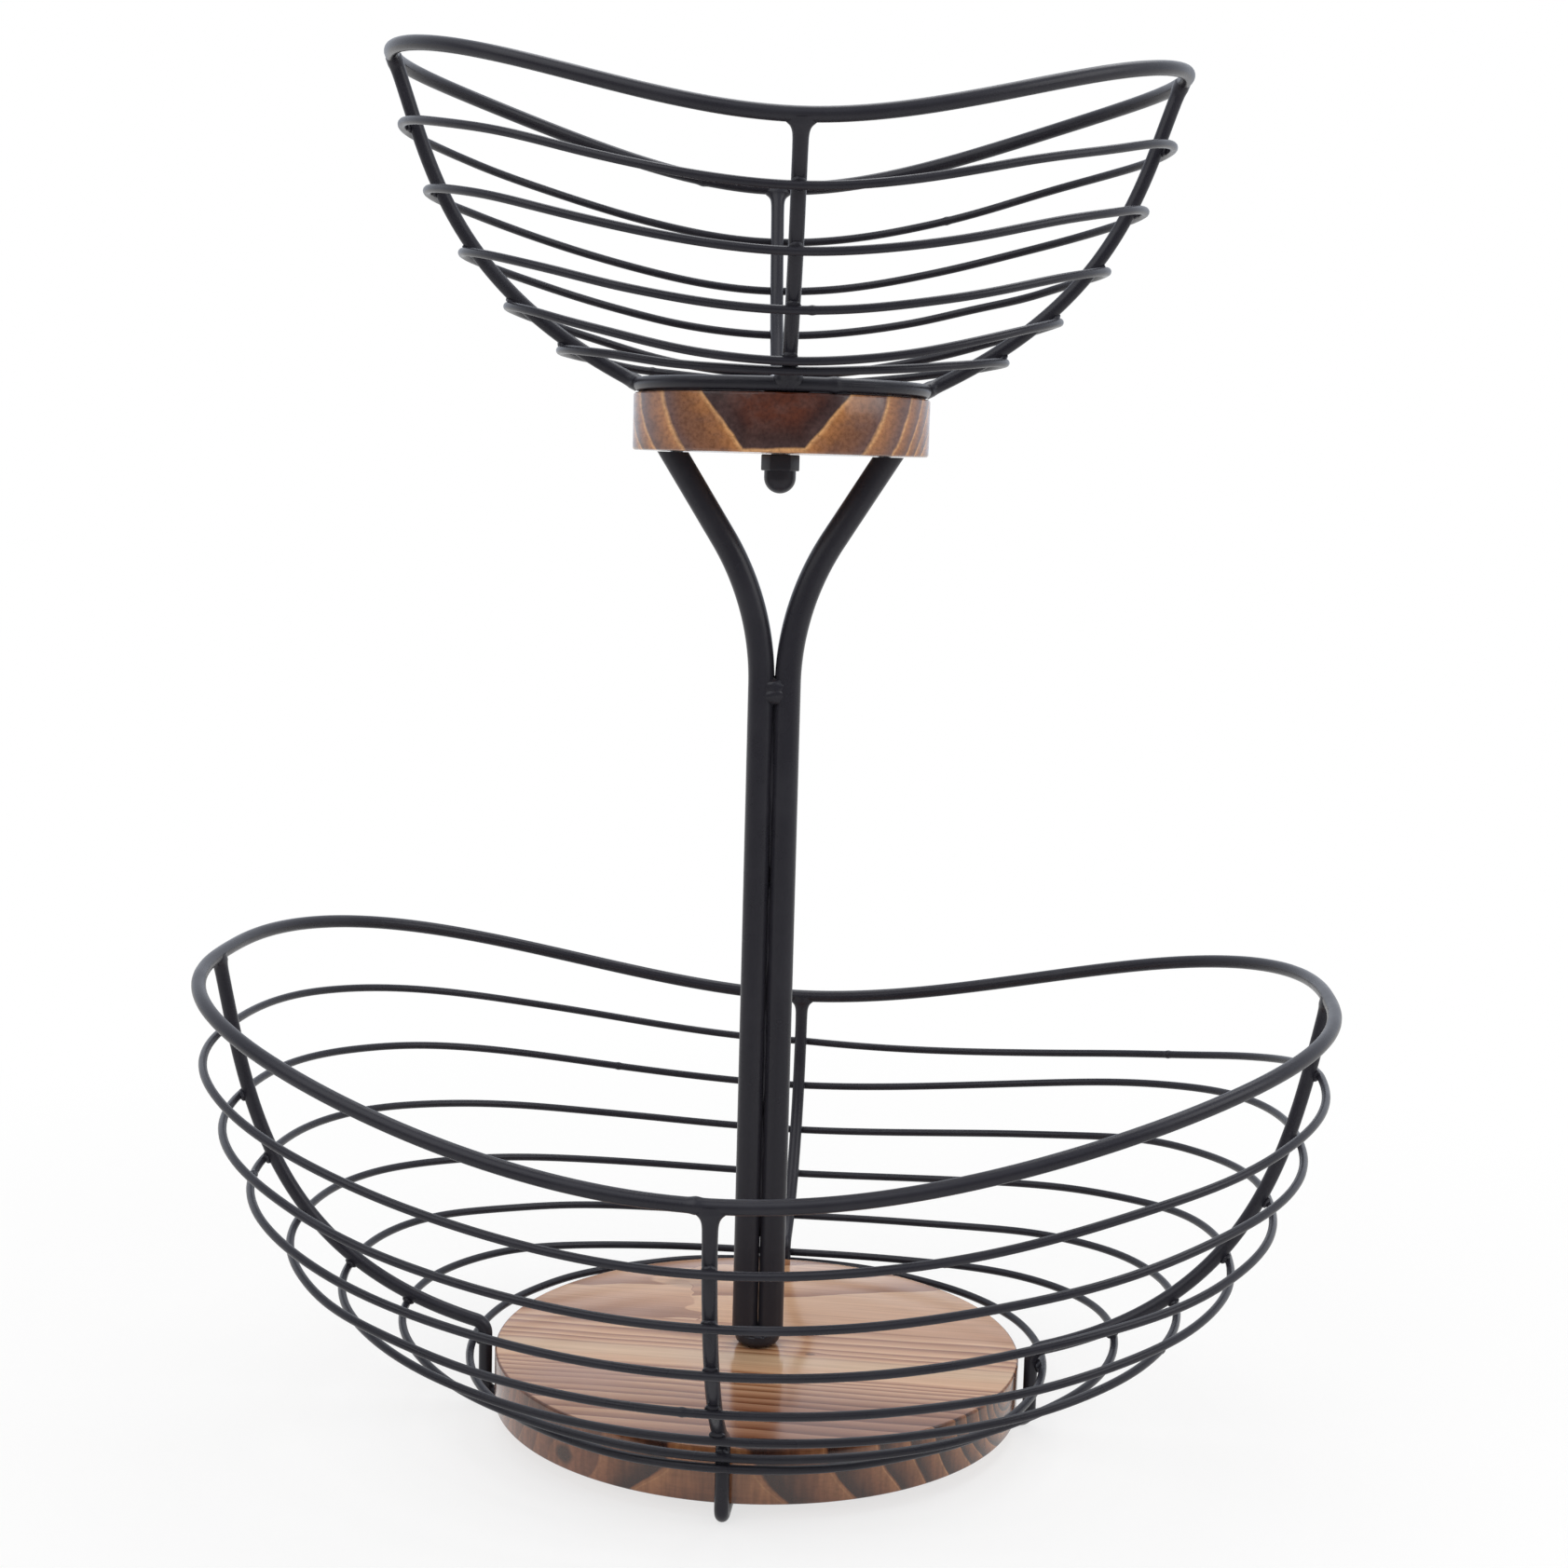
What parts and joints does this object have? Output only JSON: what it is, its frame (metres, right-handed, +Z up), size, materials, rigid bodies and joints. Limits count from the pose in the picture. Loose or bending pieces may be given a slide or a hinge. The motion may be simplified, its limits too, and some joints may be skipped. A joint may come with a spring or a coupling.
{
  "type": "two-tier wire basket",
  "caption": "Two saddle-shaped wire baskets with round wooden boards, stacked on a forked two-rod post, for keeping fruit or bread on a worktop; each tier turns on a central bolt.",
  "frame": {"origin": "on the floor, on the post's axis", "axes": "+X along the lower basket to the picture's right, +Y to the back, +Z up along the post"},
  "size_m": [0.3566, 0.2706, 0.427],
  "materials": {
    "black_coat": "satin black powder coat",
    "tan_pine": "lightly scorched pine under gloss varnish",
    "scorched_pine": "dark scorched pine under gloss varnish",
    "plain_steel": "bright zinc"
  },
  "bodies": {
    "lower_basket": {"lower_rim": "black_coat", "lower_loop_1": "black_coat", "lower_loop_2": "black_coat", "lower_loop_3": "black_coat", "lower_loop_4": "black_coat", "lower_loop_5": "black_coat", "lower_loop_6": "black_coat", "lower_loop_7": "black_coat", "lower_rib_front": "black_coat", "lower_rib_back": "black_coat", "lower_rib_left": "black_coat", "lower_rib_right": "black_coat", "lower_hub": "black_coat", "lower_board": "tan_pine"},
    "post": {"post_foot_boss": "black_coat", "base_screw": "plain_steel", "post_rod_left": "black_coat", "post_rod_right": "black_coat", "upper_board": "scorched_pine", "arm_screw_left": "plain_steel", "arm_screw_right": "plain_steel", "centre_bolt": "plain_steel", "cap_nut": "black_coat"},
    "upper_basket": {"upper_rim": "black_coat", "upper_loop_1": "black_coat", "upper_loop_2": "black_coat", "upper_loop_3": "black_coat", "upper_loop_4": "black_coat", "upper_loop_5": "black_coat", "upper_rib_front": "black_coat", "upper_rib_back": "black_coat", "upper_rib_left": "black_coat", "upper_rib_right": "black_coat", "base_ring": "black_coat", "cross_bar": "black_coat"}
  },
  "joints": [
    {"name": "post_turn", "type": "hinge", "parent": "lower_basket", "child": "post", "pos_m": [0, 0, 0.0225], "axis": [0, 0, 1], "continuous": true},
    {"name": "upper_basket_turn", "type": "hinge", "parent": "post", "child": "upper_basket", "pos_m": [0, 0, 0.327], "axis": [0, 0, 1], "continuous": true}
  ]
}
